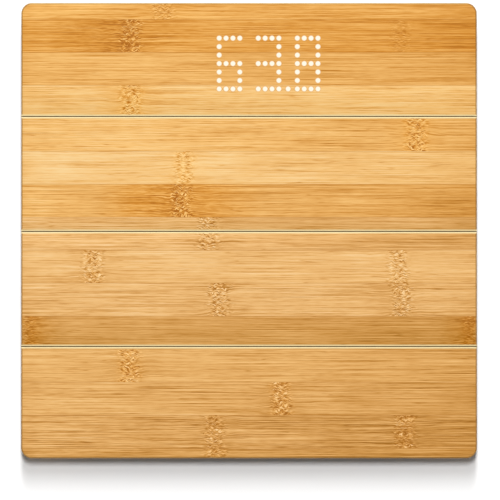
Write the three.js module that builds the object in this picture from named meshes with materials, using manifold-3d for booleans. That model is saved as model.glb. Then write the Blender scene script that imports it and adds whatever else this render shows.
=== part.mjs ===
// A flat digital bathroom scale: a square bamboo platform on a moulded under-shell that stands on four
// load-cell feet. Number dots light up through the thinned bamboo near the back edge.
//
// Units are millimetres. +Z is up, +X is to the right and +Y is away from the user. The origin is on the
// floor, under the middle of the platform.
import * as THREE from "three";
import { mergeVertices } from "three/addons/utils/BufferGeometryUtils.js";
import Module from "manifold-3d";

const wasm = await Module();
wasm.setup();

// ---------------------------------------------------------------- driving dimensions
const SIDE = 300;
const HEIGHT = 29;
const GAP = 0.3; // between pieces that touch

const BOARD_THICK = 10;
const BOARD_BOTTOM = HEIGHT - BOARD_THICK;
const BOARD_CORNER = 7;
const BOARD_EASE = 1;

const GROOVE_PITCH = 75.8;
const GROOVE_SHIFT = -0.7; // of the middle groove from the middle of the platform, along Y
const GROOVE_HALF = 1.2;
const GROOVE_SLIT_HALF = 0.3;
const GROOVE_V_DEPTH = 0.6;
const GROOVE_DEPTH = 1.8;

const SHELL_SIDE = 272;
const SHELL_CORNER = 16;
const SHELL_WALL = 2.2;
const SHELL_FLOOR = 2;
const SHELL_BOTTOM = 4;
const SHELL_CHAMFER = 2.5;
const SHELL_INSIDE = SHELL_BOTTOM + SHELL_FLOOR;
const SHELL_TOP = BOARD_BOTTOM - GAP;

// The display: four digits of four by seven dots, with a point before the last digit.
const DISPLAY_Y = 110;
const DIGITS = 4;
const DIGIT_PITCH = 25.74;
const DOT_COLUMNS = 4;
const DOT_ROWS = 7;
const DOT_PITCH_X = 4.53;
const DOT_PITCH_Y = 5.58;
const DOT_RADIUS = 1.6;
const MASK_WIDTH = 100;
const MASK_DEPTH = 42;
const SKIN = 0.8; // bamboo left over the dots

const PCB_WIDTH = 128;
const PCB_DEPTH = 50;
const PCB_Y = 107;
const PCB_BOTTOM = 13.4;
const PCB_THICK = 1.6;
const PCB_TOP = PCB_BOTTOM + PCB_THICK;
const STANDOFFS = [
  [-58, 88],
  [58, 88],
  [-58, 126],
  [58, 126],
];

const FOOT_REACH = 104; // from the middle to each foot, along X and along Y
const FOOT_DROP = 0.8; // play of a foot that hangs in the air
const CAP_RADIUS = 26;
const COLLAR_INNER = 27.2;
const COLLAR_OUTER = 29.2;
const COLLAR_TOP = 14.4;
const HOLDER_PLATE_BOTTOM = COLLAR_TOP + GAP;
const BARREL_RADIUS = 22.5;
const FLANGE_RADIUS = 23.4;
const HOLDER_BOTTOM = 9.4;
const FLANGE_THICK = 1.2;
const CELL_SIDE = 30;
const CELL_THICK = 2.5;
const CELL_BOTTOM = 10.9;
const CELL_TOP = CELL_BOTTOM + CELL_THICK;
const LEAD_RADIUS = 1.2;
const LEAD_EXIT_Z = 14.8;
const LEAD_FLOOR_Z = 8.2;

const BAY_Y = 15; // middle of the battery bay
const BAY_HALF_X = 29.3;
const BAY_HALF_Y = 21.3;
const BAY_WALL = 1.7;
const BAY_CEILING = 17.4;
const CELL_PITCH = 12.2; // between the three AAA cells
const AAA_RADIUS = 5.25;
const AAA_LENGTH = 44.5;
const AAA_Z = SHELL_INSIDE + 0.5 + AAA_RADIUS;
const CONTACT_X = 24.6; // inner face of the contact plates
const CONTACT_THICK = 0.5;
const SPRING_LENGTH = 4.1;

const BUTTON_X = 24;
const BUTTON_Y = 94;
const BUTTON_RADIUS = 5;

const SCREW_PLACES = [
  [-58, -122],
  [58, -122],
  [-122, -45],
  [122, -45],
  [-122, 45],
  [122, 45],
  [-71, 124],
  [71, 124],
];
const SCREW_HEAD_RADIUS = 3.1;
const SCREW_HEAD_Z = 6;
const SCREW_HEAD_THICK = 2.2;
const SCREW_SHANK_RADIUS = 1.45;
const SCREW_TIP_Z = 25.3;

const LABEL_WIDTH = 62;
const LABEL_DEPTH = 34;
const LABEL_Y = -62;

const CORNERS = [
  { name: "front_left", sx: -1, sy: -1 },
  { name: "front_right", sx: 1, sy: -1 },
  { name: "back_left", sx: -1, sy: 1 },
  { name: "back_right", sx: 1, sy: 1 },
];

// ---------------------------------------------------------------- materials
const material = (color, roughness, metalness = 0) =>
  new THREE.MeshStandardMaterial({ color, roughness, metalness });

const BAMBOO = material(0xe6b06a, 0.45);
const SHELL_ABS = material(0x2b2c2e, 0.55);
const FOOT_ABS = material(0x232426, 0.5);
const HOLDER_ABS = material(0x3a3c3f, 0.6);
const RUBBER = material(0x4a4c4e, 0.85);
const BLACK_ABS = material(0x141414, 0.7);
const CIRCUIT = material(0x1f6b3a, 0.4);
const CHIP = material(0x18181a, 0.5);
const STEEL = material(0xb9bcbf, 0.35, 1);
const SCREW_STEEL = material(0x9a9da1, 0.3, 1);
const SILICONE = material(0xefefea, 0.6);
const BUTTON_GREY = material(0x8d9094, 0.5);
const BATTERY_WRAP = material(0x3f7a4a, 0.35);
const LEAD_GREY = material(0xc8cacc, 0.5);
const LEAD_RED = material(0xb02a22, 0.45);
const LEAD_BLACK = material(0x202022, 0.45);
const LABEL = material(0xd9dbdd, 0.4);
const ALUMINIUM = material(0xa9adb1, 0.4, 1);

// ---------------------------------------------------------------- solids
function solid(geometry) {
  const bare = geometry.clone();
  bare.deleteAttribute("normal");
  bare.deleteAttribute("uv");
  const merged = mergeVertices(bare, 1e-4);
  return new wasm.Manifold(
    new wasm.Mesh({
      numProp: 3,
      vertProperties: merged.attributes.position.array,
      triVerts: new Uint32Array(merged.index.array),
    }),
  );
}

function geometryOf(shape) {
  const mesh = shape.getMesh();
  const places = new Float32Array(mesh.numVert * 3);
  for (let i = 0; i < mesh.numVert; i++) {
    places.set(mesh.vertProperties.subarray(i * mesh.numProp, i * mesh.numProp + 3), i * 3);
  }
  const indexed = new THREE.BufferGeometry();
  indexed.setAttribute("position", new THREE.BufferAttribute(places, 3));
  indexed.setIndex(new THREE.BufferAttribute(mesh.triVerts, 1));
  const flat = indexed.toNonIndexed();
  flat.computeVertexNormals();
  return flat;
}

const join = (shapes) => shapes.reduce((whole, piece) => whole.add(piece));
const cut = (shape, tools) => tools.reduce((left, tool) => left.subtract(tool), shape);

function box(x0, x1, y0, y1, z0, z1) {
  const geometry = new THREE.BoxGeometry(x1 - x0, y1 - y0, z1 - z0);
  return solid(geometry.translate((x0 + x1) / 2, (y0 + y1) / 2, (z0 + z1) / 2));
}

function cylinder(x, y, radius, z0, z1, sides = 24) {
  const geometry = new THREE.CylinderGeometry(radius, radius, z1 - z0, sides);
  return solid(geometry.rotateX(Math.PI / 2).translate(x, y, (z0 + z1) / 2));
}

function ring(x, y, inner, outer, z0, z1, sides = 32) {
  const wall = cylinder(x, y, outer, z0, z1, sides);
  return wall.subtract(cylinder(x, y, inner, z0 - 1, z1 + 1, sides));
}

function roundedSquare(width, depth, corner) {
  const x = width / 2;
  const y = depth / 2;
  const shape = new THREE.Shape();
  shape.absarc(x - corner, y - corner, corner, 0, Math.PI / 2);
  shape.absarc(-x + corner, y - corner, corner, Math.PI / 2, Math.PI);
  shape.absarc(-x + corner, -y + corner, corner, Math.PI, 1.5 * Math.PI);
  shape.absarc(x - corner, -y + corner, corner, 1.5 * Math.PI, 2 * Math.PI);
  shape.closePath();
  return shape;
}

// A rounded slab between two heights, with its top and bottom edges eased.
function slab(width, depth, corner, z0, z1, ease = 0, easeSteps = 1) {
  const geometry = new THREE.ExtrudeGeometry(
    roundedSquare(width - 2 * ease, depth - 2 * ease, corner - ease),
    {
      depth: z1 - z0 - 2 * ease,
      bevelEnabled: ease > 0,
      bevelSize: ease,
      bevelThickness: ease,
      bevelSegments: easeSteps,
      curveSegments: 3,
    },
  );
  return solid(geometry.translate(0, 0, z0 + ease));
}

// A piece turned about the Z axis, from [radius, height] points that start and end on it.
function turned(profile, sides = 28) {
  const points = profile.map(([radius, z]) => new THREE.Vector2(radius, z));
  return solid(new THREE.LatheGeometry(points, sides).rotateX(Math.PI / 2));
}

// A bar of constant section along X. Its section is drawn in Y and Z.
function barAlongX(section, x0, x1) {
  const shape = new THREE.Shape(section.map(([y, z]) => new THREE.Vector2(y, z)));
  const geometry = new THREE.ExtrudeGeometry(shape, { depth: x1 - x0, bevelEnabled: false });
  const turn = new THREE.Matrix4().makeBasis(
    new THREE.Vector3(0, 1, 0),
    new THREE.Vector3(0, 0, 1),
    new THREE.Vector3(1, 0, 0),
  );
  return solid(geometry.applyMatrix4(turn).translate(x0, 0, 0));
}

function tube(points, radius, steps) {
  const section = new THREE.Shape();
  section.absarc(0, 0, radius, 0, 2 * Math.PI);
  const line = points.map(([x, y, z]) => new THREE.Vector3(x, y, z));
  const path = new THREE.CatmullRomCurve3(line, false, "centripetal");
  return new THREE.ExtrudeGeometry(section, { steps, extrudePath: path, curveSegments: 3 });
}

const root = new THREE.Group();

function place(name, geometry, finish, x = 0, y = 0, turn = 0) {
  const mesh = new THREE.Mesh(geometry, finish);
  mesh.name = name;
  mesh.position.set(x, y, 0);
  mesh.rotation.z = turn;
  root.add(mesh);
}

// ---------------------------------------------------------------- display layout
// Every dot as [x, y]: the ring and the middle bar of each digit, then the point before the last digit.
function displayDots() {
  const dots = [];
  const left = (-DOT_PITCH_X * (DOT_COLUMNS - 1)) / 2;
  const top = DISPLAY_Y + (DOT_PITCH_Y * (DOT_ROWS - 1)) / 2;
  for (let digit = 0; digit < DIGITS; digit++) {
    const middle = (digit - (DIGITS - 1) / 2) * DIGIT_PITCH;
    for (let row = 0; row < DOT_ROWS; row++) {
      for (let column = 0; column < DOT_COLUMNS; column++) {
        const bar = row % ((DOT_ROWS - 1) / 2) === 0;
        const side = column === 0 || column === DOT_COLUMNS - 1;
        if (bar || side) {
          dots.push([middle + left + column * DOT_PITCH_X, top - row * DOT_PITCH_Y]);
        }
      }
    }
  }
  dots.push([DIGIT_PITCH, top - (DOT_ROWS - 1) * DOT_PITCH_Y]);
  return dots;
}

// ---------------------------------------------------------------- platform
// One laminated bamboo panel. Three V-grooves divide its top, and a pocket under the display takes the mask.
function bambooPlatform() {
  const panel = slab(SIDE, SIDE, BOARD_CORNER, BOARD_BOTTOM, HEIGHT, BOARD_EASE, 2);
  const grooves = [-1, 0, 1].map((n) => {
    const y = n * GROOVE_PITCH + GROOVE_SHIFT;
    const section = [
      [y - GROOVE_HALF, HEIGHT],
      [y - GROOVE_SLIT_HALF, HEIGHT - GROOVE_V_DEPTH],
      [y - GROOVE_SLIT_HALF, HEIGHT - GROOVE_DEPTH],
      [y + GROOVE_SLIT_HALF, HEIGHT - GROOVE_DEPTH],
      [y + GROOVE_SLIT_HALF, HEIGHT - GROOVE_V_DEPTH],
      [y + GROOVE_HALF, HEIGHT],
      [y + GROOVE_HALF, HEIGHT + 1],
      [y - GROOVE_HALF, HEIGHT + 1],
    ];
    return barAlongX(section, -SIDE, SIDE);
  });
  const x = MASK_WIDTH / 2 + GAP;
  const y = MASK_DEPTH / 2 + GAP;
  const pocket = box(-x, x, DISPLAY_Y - y, DISPLAY_Y + y, BOARD_BOTTOM - 1, HEIGHT - SKIN);
  const pilots = SCREW_PLACES.map(([px, py]) =>
    cylinder(px, py, SCREW_SHANK_RADIUS + GAP, BOARD_BOTTOM - 1, SCREW_TIP_Z + GAP, 8),
  );
  return cut(panel, [...grooves, pocket, ...pilots]);
}

// ---------------------------------------------------------------- under-shell
function shellTray() {
  const above = box(-SIDE, SIDE, -SIDE, SIDE, SHELL_TOP, HEIGHT + SIDE);
  const outside = slab(
    SHELL_SIDE, SHELL_SIDE, SHELL_CORNER, SHELL_BOTTOM, HEIGHT + 5, SHELL_CHAMFER, 1,
  );
  const inner = SHELL_SIDE - 2 * SHELL_WALL;
  const innerCorner = SHELL_CORNER - SHELL_WALL;
  const inside = slab(inner, inner, innerCorner, SHELL_INSIDE, HEIGHT + 5, SHELL_CHAMFER, 1);
  return cut(outside, [above, inside]);
}

function screwBosses() {
  return SCREW_PLACES.map(([x, y]) => cylinder(x, y, 4.6, SHELL_INSIDE - 1, SHELL_TOP, 16));
}

function screwHoles() {
  return SCREW_PLACES.flatMap(([x, y]) => [
    cylinder(x, y, SCREW_HEAD_RADIUS + GAP, SHELL_BOTTOM - 1, SCREW_HEAD_Z + SCREW_HEAD_THICK + GAP, 16),
    cylinder(x, y, SCREW_SHANK_RADIUS + GAP, SHELL_BOTTOM, HEIGHT, 8),
  ]);
}

function footCollars() {
  return CORNERS.map(({ sx, sy }) =>
    cylinder(sx * FOOT_REACH, sy * FOOT_REACH, COLLAR_OUTER, SHELL_BOTTOM, COLLAR_TOP, 24),
  );
}

// The round opening of each foot, and the notch that its lead passes through.
function footOpenings() {
  return CORNERS.flatMap(({ sx, sy }) => {
    const x = sx * FOOT_REACH;
    const y = sy * FOOT_REACH;
    const inwards = x - sx * (COLLAR_OUTER + 1);
    return [
      cylinder(x, y, COLLAR_INNER, SHELL_BOTTOM - 1, HEIGHT, 24),
      box(Math.min(x, inwards), Math.max(x, inwards), y - 2.2, y + 2.2, 11.6, HEIGHT),
    ];
  });
}

function batteryBay() {
  const x = BAY_HALF_X + BAY_WALL;
  const y = BAY_HALF_Y + BAY_WALL;
  const walls = cut(box(-x, x, BAY_Y - y, BAY_Y + y, SHELL_BOTTOM, SHELL_TOP), [bayRoom()]);
  const contactWalls = [-1, 1].map((side) => {
    const outer = side * (CONTACT_X + CONTACT_THICK + GAP + 2);
    const inner = side * (CONTACT_X + CONTACT_THICK + GAP);
    return box(
      Math.min(outer, inner), Math.max(outer, inner),
      BAY_Y - y + 1, BAY_Y + y - 1, 8.8, BAY_CEILING + 0.5,
    );
  });
  const dividers = [-0.5, 0.5].map((step) => {
    const middle = BAY_Y + step * CELL_PITCH;
    return box(-15, 15, middle - 0.4, middle + 0.4, 12.5, BAY_CEILING + 0.5);
  });
  return [walls, ...contactWalls, ...dividers];
}

function bayRoom() {
  return box(
    -BAY_HALF_X, BAY_HALF_X, BAY_Y - BAY_HALF_Y, BAY_Y + BAY_HALF_Y, SHELL_BOTTOM - 1, BAY_CEILING,
  );
}

const TAB_PLACES = [BAY_Y - 12, BAY_Y + 12];
const TAB_HALF = 4;

// Slots for the door's two hinge tabs, and for the tails of the two end contacts.
function baySlots() {
  const wallX = BAY_HALF_X + BAY_WALL + 0.5;
  const tabs = TAB_PLACES.map((y) =>
    box(-wallX, -BAY_HALF_X + 0.1, y - TAB_HALF - 0.4, y + TAB_HALF + 0.4, SHELL_INSIDE, 9),
  );
  const x0 = CONTACT_X - GAP;
  const x1 = CONTACT_X + CONTACT_THICK + GAP;
  const wallY = BAY_HALF_Y + BAY_WALL + 0.5;
  const backTail = box(-x1, -x0, BAY_Y + BAY_HALF_Y - 1, BAY_Y + wallY, 10.7, 13.3);
  const frontTail = box(x0, x1, BAY_Y - wallY, BAY_Y - BAY_HALF_Y + 1, 10.7, 13.3);
  return [...tabs, backTail, frontTail];
}

function standoffs() {
  return STANDOFFS.map(([x, y]) => cylinder(x, y, 3.2, SHELL_INSIDE - 1, PCB_BOTTOM - GAP, 12));
}

function standoffHoles() {
  return STANDOFFS.map(([x, y]) => cylinder(x, y, 1.3, 8.2, PCB_BOTTOM, 8));
}

function ribs() {
  const half = 0.7;
  const top = SHELL_INSIDE + 4;
  const inner = SHELL_SIDE / 2 - SHELL_WALL + 0.5;
  const bayFront = BAY_Y - BAY_HALF_Y - BAY_WALL;
  const lengthwise = [-38, 38].map((x) =>
    box(x - half, x + half, -inner, bayFront + 2, SHELL_INSIDE - 1, top),
  );
  const crosswise = box(-60, 60, -92 - half, -92 + half, SHELL_INSIDE - 1, top);
  const sides = [-1, 1].flatMap((side) =>
    [-45, 45].map((y) => {
      const outer = side * inner;
      const boss = side * 122;
      return box(Math.min(outer, boss), Math.max(outer, boss), y - half, y + half, SHELL_INSIDE - 1, top);
    }),
  );
  return [...lengthwise, crosswise, ...sides];
}

function baseShell() {
  const buttonGuide = ring(BUTTON_X, BUTTON_Y, 7, 8.4, SHELL_INSIDE - 1, 9, 20);
  const solidParts = [
    shellTray(),
    ...screwBosses(),
    ...footCollars(),
    ...standoffs(),
    ...ribs(),
    buttonGuide,
  ];
  const buttonHole = cylinder(BUTTON_X, BUTTON_Y, BUTTON_RADIUS + GAP, SHELL_BOTTOM - 1, SHELL_INSIDE + 1, 20);
  const labelRecess = box(
    -LABEL_WIDTH / 2 - GAP, LABEL_WIDTH / 2 + GAP,
    LABEL_Y - LABEL_DEPTH / 2 - GAP, LABEL_Y + LABEL_DEPTH / 2 + GAP,
    SHELL_BOTTOM - 1, SHELL_BOTTOM + 0.6,
  );
  const fingerScoop = cylinder(BAY_HALF_X, BAY_Y, 7, SHELL_BOTTOM - 1, SHELL_BOTTOM + 1, 20);
  const opened = cut(join(solidParts), [
    ...footOpenings(),
    ...screwHoles(),
    ...standoffHoles(),
    buttonHole,
    labelRecess,
    fingerScoop,
    bayRoom(),
  ]);
  return cut(join([opened, ...batteryBay()]), [...baySlots(), fingerScoop]);
}

// ---------------------------------------------------------------- battery door
// A flat cover with two hinge tabs on its left edge and a latch tongue on its right edge.
function batteryDoor() {
  const x = BAY_HALF_X - GAP;
  const y = BAY_HALF_Y - GAP;
  const plate = box(-x, x, BAY_Y - y, BAY_Y + y, SHELL_BOTTOM, SHELL_INSIDE);
  const tabs = TAB_PLACES.flatMap((place) => [
    box(-x, -x + 1.5, place - TAB_HALF, place + TAB_HALF, SHELL_INSIDE - 0.5, 7.5),
    box(-x - 1.8, -x + 0.5, place - TAB_HALF, place + TAB_HALF, SHELL_INSIDE + GAP, 7.5),
  ]);
  const slits = [-6.8, 6].map((side) =>
    box(x - 8, x + 1, BAY_Y + side, BAY_Y + side + 0.8, SHELL_BOTTOM - 1, SHELL_INSIDE + 1),
  );
  const pull = box(x - 1.6, x, BAY_Y - 5, BAY_Y + 5, SHELL_BOTTOM - 0.8, SHELL_BOTTOM + 0.5);
  return cut(join([plate, ...tabs, pull]), slits);
}

// ---------------------------------------------------------------- cells and contacts
const AAA_LEFT = -CONTACT_X + GAP; // where a cell's raised end sits when it points left

// plusSide is -1 when the raised end points left and 1 when it points right.
function aaaCell(plusSide) {
  const body = 43.7;
  const profile = [
    [0, 0],
    [AAA_RADIUS - 0.4, 0],
    [AAA_RADIUS, 0.4],
    [AAA_RADIUS, body - 0.5],
    [AAA_RADIUS - 0.5, body],
    [1.9, body],
    [1.9, AAA_LENGTH],
    [0, AAA_LENGTH],
  ];
  const points = profile.map(([radius, along]) => new THREE.Vector2(radius, along));
  const geometry = new THREE.LatheGeometry(points, 16).rotateZ(-Math.PI / 2);
  if (plusSide < 0) {
    return geometry.rotateZ(Math.PI).translate(AAA_LEFT + AAA_LENGTH, 0, AAA_Z);
  }
  return geometry.translate(-AAA_LEFT - AAA_LENGTH, 0, AAA_Z);
}

// A contact plate on one side of the bay. springs and flats are the cells that it serves, 1 at the back.
function contact(side, cells, springCell, tail) {
  const inner = side * CONTACT_X;
  const outer = side * (CONTACT_X + CONTACT_THICK);
  const places = cells.map((n) => BAY_Y + (2 - n) * CELL_PITCH);
  const x0 = Math.min(inner, outer);
  const x1 = Math.max(inner, outer);
  const low = Math.min(...places) - 4.5;
  const high = Math.max(...places) + 4.5;
  const pieces = [box(x0, x1, low, high, 8.6, 15.8)];
  if (springCell) {
    const y = BAY_Y + (2 - springCell) * CELL_PITCH;
    const cone = new THREE.CylinderGeometry(2.6, 4, SPRING_LENGTH + 0.1, 16);
    cone.rotateZ((side * Math.PI) / 2);
    pieces.push(solid(cone.translate(inner - side * (SPRING_LENGTH / 2 - 0.05), y, AAA_Z)));
  }
  if (tail) {
    const end = BAY_Y + tail * (BAY_HALF_Y + BAY_WALL + 1.5);
    const start = tail > 0 ? high - 1 : low + 1;
    pieces.push(box(x0, x1, Math.min(start, end), Math.max(start, end), 11, 13));
  }
  return join(pieces);
}

// ---------------------------------------------------------------- electronics
// A black block with one well above each light, so that every dot stays round and separate.
function lightMask() {
  const bottom = PCB_TOP + 1.2;
  const x = MASK_WIDTH / 2;
  const y = MASK_DEPTH / 2;
  const block = box(-x, x, DISPLAY_Y - y, DISPLAY_Y + y, bottom, HEIGHT - SKIN - GAP);
  const wells = displayDots().map(([px, py]) => cylinder(px, py, DOT_RADIUS, bottom - 1, HEIGHT, 8));
  return cut(block, [wasm.Manifold.union(wells)]);
}

// The circuit board with its lights soldered on top.
function mainBoard() {
  const x = PCB_WIDTH / 2;
  const y = PCB_DEPTH / 2;
  const board = box(-x, x, PCB_Y - y, PCB_Y + y, PCB_BOTTOM, PCB_TOP);
  const lights = displayDots().map(([px, py]) =>
    box(px - 0.8, px + 0.8, py - 0.5, py + 0.5, PCB_TOP - 0.2, PCB_TOP + 0.8),
  );
  const holes = STANDOFFS.map(([px, py]) => cylinder(px, py, 1.3, PCB_BOTTOM - 1, PCB_TOP + 1, 8));
  return cut(join([board, wasm.Manifold.union(lights)]), holes);
}

function boardScrew() {
  return turned(
    [
      [0, 9],
      [0.6, 9],
      [1, 9.6],
      [1, PCB_TOP + GAP],
      [2.2, PCB_TOP + GAP],
      [2.2, PCB_TOP + 1],
      [1.6, PCB_TOP + 1.6],
      [0, PCB_TOP + 1.6],
    ],
    12,
  );
}

// A push switch under the board. Its bore takes the plunger that the unit button lifts.
function unitSwitch() {
  const housing = box(BUTTON_X - 3, BUTTON_X + 3, BUTTON_Y - 3, BUTTON_Y + 3, 9.8, PCB_BOTTOM - 0.1);
  return housing.subtract(cylinder(BUTTON_X, BUTTON_Y, 1.9, 9, 12.9, 16));
}

function unitButton() {
  return turned(
    [
      [0, 4.7],
      [3.2, 4.55],
      [4.4, 4.3],
      [BUTTON_RADIUS, 4.8],
      [BUTTON_RADIUS, 6.3],
      [6.5, 6.3],
      [6.5, 7.5],
      [2.2, 7.5],
      [2.2, 8.4],
      [0, 8.4],
    ],
    24,
  );
}

// ---------------------------------------------------------------- shell screws
function shellScrew() {
  const headTop = SCREW_HEAD_Z + SCREW_HEAD_THICK;
  const shank = turned(
    [
      [0, SCREW_HEAD_Z],
      [SCREW_HEAD_RADIUS - 0.8, SCREW_HEAD_Z],
      [SCREW_HEAD_RADIUS, SCREW_HEAD_Z + 0.8],
      [SCREW_HEAD_RADIUS, headTop],
      [SCREW_SHANK_RADIUS, headTop],
      [SCREW_SHANK_RADIUS, SCREW_TIP_Z - 1.6],
      [0, SCREW_TIP_Z],
    ],
    12,
  );
  const top = SCREW_HEAD_Z + 1.2;
  const cross = [
    box(-1.8, 1.8, -0.35, 0.35, SCREW_HEAD_Z - 1, top),
    box(-0.35, 0.35, -1.8, 1.8, SCREW_HEAD_Z - 1, top),
  ];
  return cut(shank, cross);
}

// ---------------------------------------------------------------- feet
// Each foot is drawn about its own middle, with its lead leaving along +X.

// An inverted cup, clamped between the shell's collar and the platform. It holds the load cell.
function cellHolder() {
  const flangeTop = HOLDER_BOTTOM + FLANGE_THICK;
  const body = turned(
    [
      [0, HOLDER_BOTTOM],
      [FLANGE_RADIUS, HOLDER_BOTTOM],
      [FLANGE_RADIUS, flangeTop],
      [BARREL_RADIUS, flangeTop],
      [BARREL_RADIUS, HOLDER_PLATE_BOTTOM],
      [COLLAR_OUTER, HOLDER_PLATE_BOTTOM],
      [COLLAR_OUTER, SHELL_TOP],
      [0, SHELL_TOP],
    ],
    24,
  );
  const half = CELL_SIDE / 2 + GAP;
  const pocket = slab(2 * half, 2 * half, 3 + GAP, HOLDER_BOTTOM - 1, CELL_TOP + GAP);
  const relief = cylinder(0, 0, 13.4, HOLDER_BOTTOM, 16.2, 16);
  const leadWay = box(8, COLLAR_OUTER + 1, -2.2, 2.2, 13.2, 16.4);
  return cut(body, [pocket, relief, leadWay]);
}

// A stamped steel plate. A U-shaped slot leaves a tongue in the middle, which the foot bends upwards.
function loadCell() {
  const shape = roundedSquare(CELL_SIDE, CELL_SIDE, 3);
  const slot = [
    [9, -8],
    [-8, -8],
    [-8, 8],
    [9, 8],
    [9, 6.4],
    [-6.4, 6.4],
    [-6.4, -6.4],
    [9, -6.4],
  ];
  shape.holes.push(new THREE.Path(slot.map(([x, y]) => new THREE.Vector2(x, y))));
  const geometry = new THREE.ExtrudeGeometry(shape, {
    depth: CELL_THICK,
    bevelEnabled: false,
    curveSegments: 3,
  });
  return geometry.translate(0, 0, CELL_BOTTOM);
}

// The blob of silicone that covers the strain gauge on the neck of the tongue.
function gaugeSeal() {
  const blob = slab(4.6, 10, 1.8, CELL_TOP + 0.1, CELL_TOP + 1.4, 0.5, 1);
  return blob.translate([10, 0, 0]);
}

// A cup under the holder. Its boss carries the tongue, and its lip keeps it on the holder's flange.
function footCap() {
  const lipBottom = HOLDER_BOTTOM + FLANGE_THICK + FOOT_DROP;
  const lipTop = lipBottom + 1.4;
  return turned(
    [
      [0, 2.2],
      [24.3, 2.2],
      [24.3, 1.2],
      [CAP_RADIUS - 0.6, 1.2],
      [CAP_RADIUS, 1.8],
      [CAP_RADIUS, lipTop],
      [23.4, lipTop],
      [22.9, lipBottom + 0.5],
      [22.9, lipBottom],
      [24.2, lipBottom],
      [24.2, 4.6],
      [5, 4.6],
      [4.5, CELL_BOTTOM - GAP],
      [0, CELL_BOTTOM - GAP],
    ],
    24,
  );
}

// A soft disc set into the cap's rim, with a ring groove in its sole.
function footPad() {
  return turned(
    [
      [0, 0],
      [14, 0],
      [14.5, 0.6],
      [15.7, 0.6],
      [16.2, 0],
      [23, 0],
      [24, 0.9],
      [24, 1.9],
      [0, 1.9],
    ],
    24,
  );
}

// ---------------------------------------------------------------- leads
// Each route is drawn on the left side. It is mirrored in X for the right side.
const FRONT_CELL_ROUTE = [
  [-91, -104, LEAD_EXIT_Z],
  [-80, -104, LEAD_EXIT_Z],
  [-73.6, -103.4, 13],
  [-69.4, -99.5, 9.6],
  [-68, -90, LEAD_FLOOR_Z],
  [-68, -40, LEAD_FLOOR_Z],
  [-68, 20, LEAD_FLOOR_Z],
  [-67, 60, LEAD_FLOOR_Z],
  [-62, 74, LEAD_FLOOR_Z],
  [-53, 84, LEAD_FLOOR_Z],
  [-48.4, 90, 9.4],
  [-48, 91, 12.9],
];
const BACK_CELL_ROUTE = [
  [-91, 104, LEAD_EXIT_Z],
  [-80, 104, LEAD_EXIT_Z],
  [-73.5, 104, 13],
  [-68, 104, 9.8],
  [-60, 104, LEAD_FLOOR_Z],
  [-52, 104, 8.6],
  [-48.4, 104, 10],
  [-48, 104, 12.9],
];
const PLUS_ROUTE = [
  [-24.8, BAY_Y + 25.2, 12],
  [-24.4, BAY_Y + 30, 10.4],
  [-22, BAY_Y + 42, LEAD_FLOOR_Z],
  [-20, BAY_Y + 60, LEAD_FLOOR_Z],
  [-20, 84, 8.8],
  [-20, 87.4, 10],
  [-20, 88, 12.9],
];
const MINUS_ROUTE = [
  [24.8, BAY_Y - 25.2, 12],
  [26.2, BAY_Y - 27.4, 10.6],
  [31, BAY_Y - 27.6, 10.8],
  [35, BAY_Y - 22, 9.6],
  [35.4, BAY_Y - 10, LEAD_FLOOR_Z],
  [35.4, BAY_Y + 24, LEAD_FLOOR_Z],
  [26, BAY_Y + 48, LEAD_FLOOR_Z],
  [8, 80, LEAD_FLOOR_Z],
  [4.3, 87, 10],
  [4, 88, 12.9],
];

const mirrored = (route, sx) => route.map(([x, y, z]) => [-sx * x, y, z]);

// ---------------------------------------------------------------- assembly
place("bamboo_platform", geometryOf(bambooPlatform()), BAMBOO);
place("base_shell", geometryOf(baseShell()), SHELL_ABS);
place("light_mask", geometryOf(lightMask()), BLACK_ABS);
place("main_board", geometryOf(mainBoard()), CIRCUIT);
place("controller_chip", geometryOf(box(-14, -5, 101, 110, 12, PCB_BOTTOM - 0.1)), CHIP);
place("driver_chip", geometryOf(box(-34, -24, 112, 116, 12.1, PCB_BOTTOM - 0.1)), CHIP);
place("capacitor", geometryOf(cylinder(38, 118, 2.5, 8, PCB_BOTTOM - 0.1, 16)), ALUMINIUM);
place("unit_switch", geometryOf(unitSwitch()), BLACK_ABS);
place("switch_plunger", geometryOf(cylinder(0, 0, 1.6, 8.7, 11.8, 16)), FOOT_ABS, BUTTON_X, BUTTON_Y);
place("unit_button", geometryOf(unitButton()), BUTTON_GREY, BUTTON_X, BUTTON_Y);
place("rating_label", geometryOf(box(
  -LABEL_WIDTH / 2, LABEL_WIDTH / 2,
  LABEL_Y - LABEL_DEPTH / 2, LABEL_Y + LABEL_DEPTH / 2,
  SHELL_BOTTOM + 0.1, SHELL_BOTTOM + 0.4,
)), LABEL);

place("battery_door", geometryOf(batteryDoor()), SHELL_ABS);
[1, 2, 3].forEach((n) => {
  const plusSide = n === 2 ? 1 : -1;
  place(`battery_${n}`, aaaCell(plusSide), BATTERY_WRAP, 0, BAY_Y + (2 - n) * CELL_PITCH);
});
place("contact_plus", geometryOf(contact(-1, [1], null, 1)), STEEL);
place("contact_bridge_left", geometryOf(contact(-1, [2, 3], 2, 0)), STEEL);
place("contact_bridge_right", geometryOf(contact(1, [1, 2], 1, 0)), STEEL);
place("contact_minus", geometryOf(contact(1, [3], 3, -1)), STEEL);
place("battery_lead_plus", tube(PLUS_ROUTE, 0.8, 24), LEAD_RED);
place("battery_lead_minus", tube(MINUS_ROUTE, 0.8, 44), LEAD_BLACK);

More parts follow.
